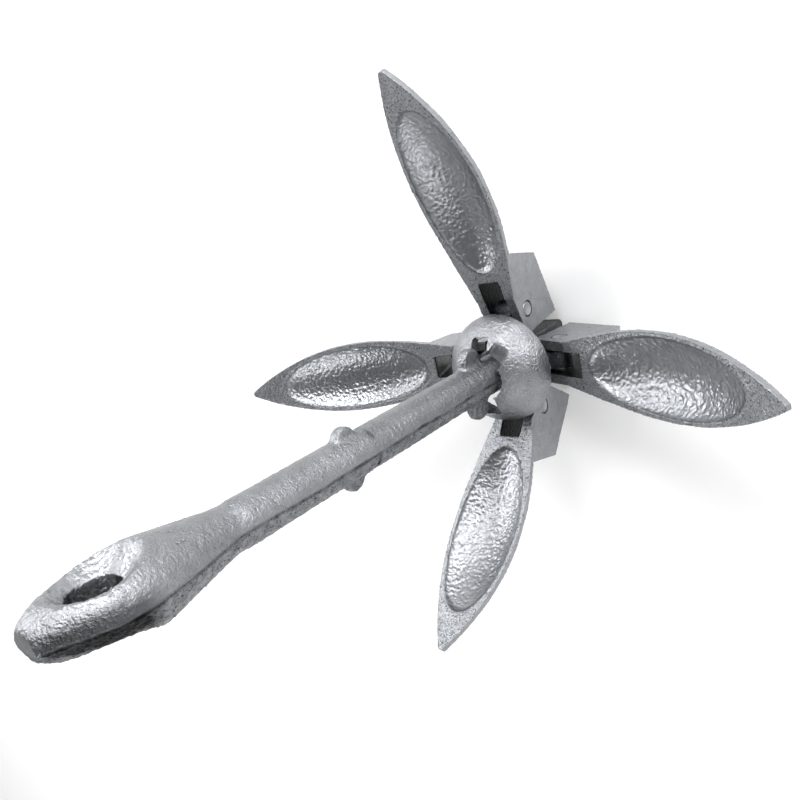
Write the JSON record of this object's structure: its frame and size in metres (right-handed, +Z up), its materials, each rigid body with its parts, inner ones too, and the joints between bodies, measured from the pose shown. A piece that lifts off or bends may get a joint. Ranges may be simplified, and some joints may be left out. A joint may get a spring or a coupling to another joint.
{
  "type": "folding grapnel anchor",
  "caption": "Folding grapnel boat anchor: an eyed shank, a sliding domed locking collar and scooped flukes that pivot on a cross-shaped crown.",
  "frame": {"origin": "centre of the crown's flat foot", "axes": "+Z up the shank towards the eye; +X along the fluke opposite the lifted one and along the eye's bore"},
  "size_m": [0.2789, 0.317, 0.32],
  "materials": {
    "galvanised_iron": "hot-dip galvanised, crinkled",
    "galvanised_pin": "hot-dip galvanised, satin"
  },
  "bodies": {
    "base": {"shank": "galvanised_iron", "crown": "galvanised_iron", "pin_px": "galvanised_pin", "pin_py": "galvanised_pin", "pin_nx": "galvanised_pin", "pin_ny": "galvanised_pin"},
    "collar": {"lock_collar": "galvanised_iron"},
    "fluke_px": {"fluke_px": "galvanised_iron"},
    "fluke_py": {"fluke_py": "galvanised_iron"},
    "fluke_nx": {"fluke_nx": "galvanised_iron"},
    "fluke_ny": {"fluke_ny": "galvanised_iron"}
  },
  "joints": [
    {"name": "collar_slide", "type": "slide", "parent": "base", "child": "collar", "axis": [0, 0, 1], "range_m": [0, 0.134]},
    {"name": "fluke_px_fold", "type": "hinge", "parent": "base", "child": "fluke_px", "pos_m": [0.0285, 0, 0.032], "axis": [0, -1, 0], "range_deg": [0, 58]},
    {"name": "fluke_py_fold", "type": "hinge", "parent": "base", "child": "fluke_py", "pos_m": [0, 0.0285, 0.032], "axis": [1, 0, 0], "range_deg": [0, 58]},
    {"name": "fluke_nx_fold", "type": "hinge", "parent": "base", "child": "fluke_nx", "pos_m": [-0.0285, 0, 0.032], "axis": [0, 1, 0], "range_deg": [0, 34]},
    {"name": "fluke_ny_fold", "type": "hinge", "parent": "base", "child": "fluke_ny", "pos_m": [0, -0.0285, 0.032], "axis": [-1, 0, 0], "range_deg": [0, 58]}
  ],
  "couplings": [
    {"joint": "fluke_px_fold", "follows": "collar_slide", "rad_per_m": 7.5543},
    {"joint": "fluke_py_fold", "follows": "collar_slide", "rad_per_m": 7.5543},
    {"joint": "fluke_nx_fold", "follows": "collar_slide", "rad_per_m": 4.4284},
    {"joint": "fluke_ny_fold", "follows": "collar_slide", "rad_per_m": 7.5543}
  ]
}
